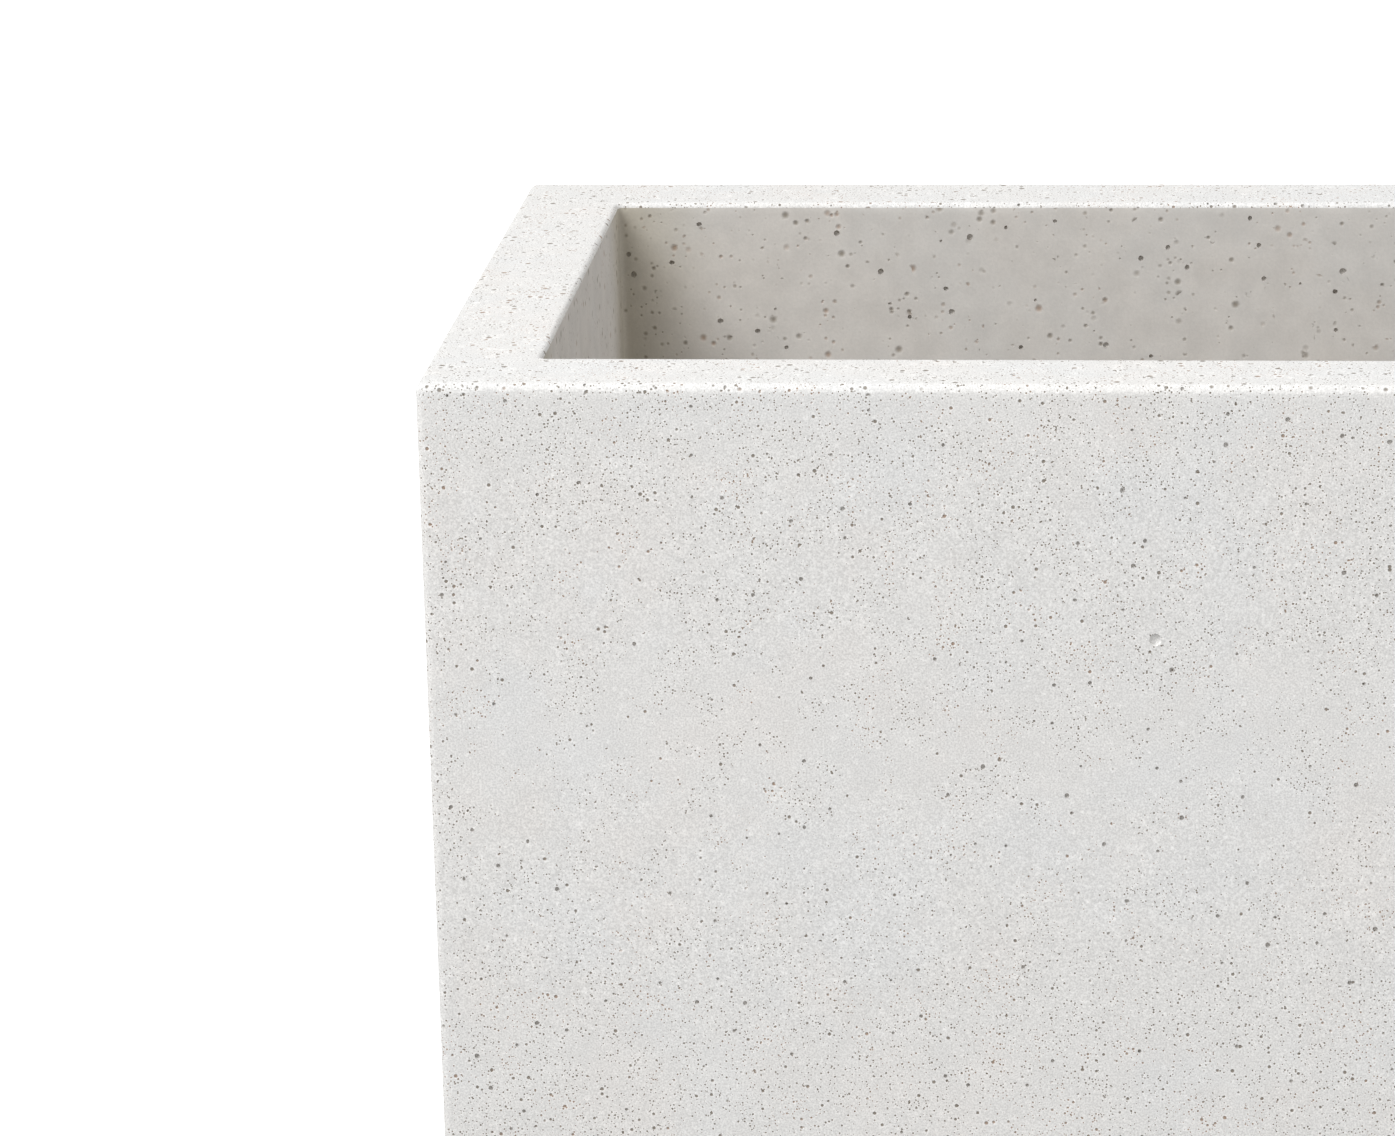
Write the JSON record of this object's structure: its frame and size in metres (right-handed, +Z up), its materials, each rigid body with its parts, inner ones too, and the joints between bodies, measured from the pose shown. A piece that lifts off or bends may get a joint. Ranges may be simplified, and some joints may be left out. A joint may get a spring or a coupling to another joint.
{
  "type": "rectangular planter",
  "caption": "Long rectangular trough planter in pale cast concrete, with drain sleeves, pull-out rubber plugs, rubber foot pads and embedded steel rods.",
  "frame": {"origin": "on the ground, under the middle of the planter", "axes": "+X along the length, +Y towards the back, +Z up"},
  "size_m": [0.8, 0.26, 0.26],
  "materials": {
    "concrete": "cast off-white concrete, fine sand grain, small air pits, matt",
    "sleeve_plastic": "moulded grey PVC, matt",
    "plug_rubber": "moulded black rubber, matt",
    "pad_rubber": "moulded black rubber, matt",
    "rod_steel": "drawn steel rod, dull mill finish"
  },
  "bodies": {
    "planter": {"shell": "concrete", "drain_sleeve_left": "sleeve_plastic", "drain_sleeve_middle": "sleeve_plastic", "drain_sleeve_right": "sleeve_plastic", "foot_pad_front_left": "pad_rubber", "foot_pad_front_middle": "pad_rubber", "foot_pad_front_right": "pad_rubber", "foot_pad_back_left": "pad_rubber", "foot_pad_back_middle": "pad_rubber", "foot_pad_back_right": "pad_rubber", "hoop_bar_low": "rod_steel", "hoop_bar_middle": "rod_steel", "hoop_bar_top": "rod_steel", "long_bar_front": "rod_steel", "long_bar_back": "rod_steel", "cross_bar_1": "rod_steel", "cross_bar_2": "rod_steel", "cross_bar_3": "rod_steel", "cross_bar_4": "rod_steel"},
    "plug_left": {"drain_plug_left": "plug_rubber"},
    "plug_middle": {"drain_plug_middle": "plug_rubber"},
    "plug_right": {"drain_plug_right": "plug_rubber"}
  },
  "joints": [
    {"name": "plug_left_pull", "type": "slide", "parent": "planter", "child": "plug_left", "axis": [0, 0, 1], "range_m": [0, 0.27]},
    {"name": "plug_middle_pull", "type": "slide", "parent": "planter", "child": "plug_middle", "axis": [0, 0, 1], "range_m": [0, 0.27]},
    {"name": "plug_right_pull", "type": "slide", "parent": "planter", "child": "plug_right", "axis": [0, 0, 1], "range_m": [0, 0.27]}
  ]
}
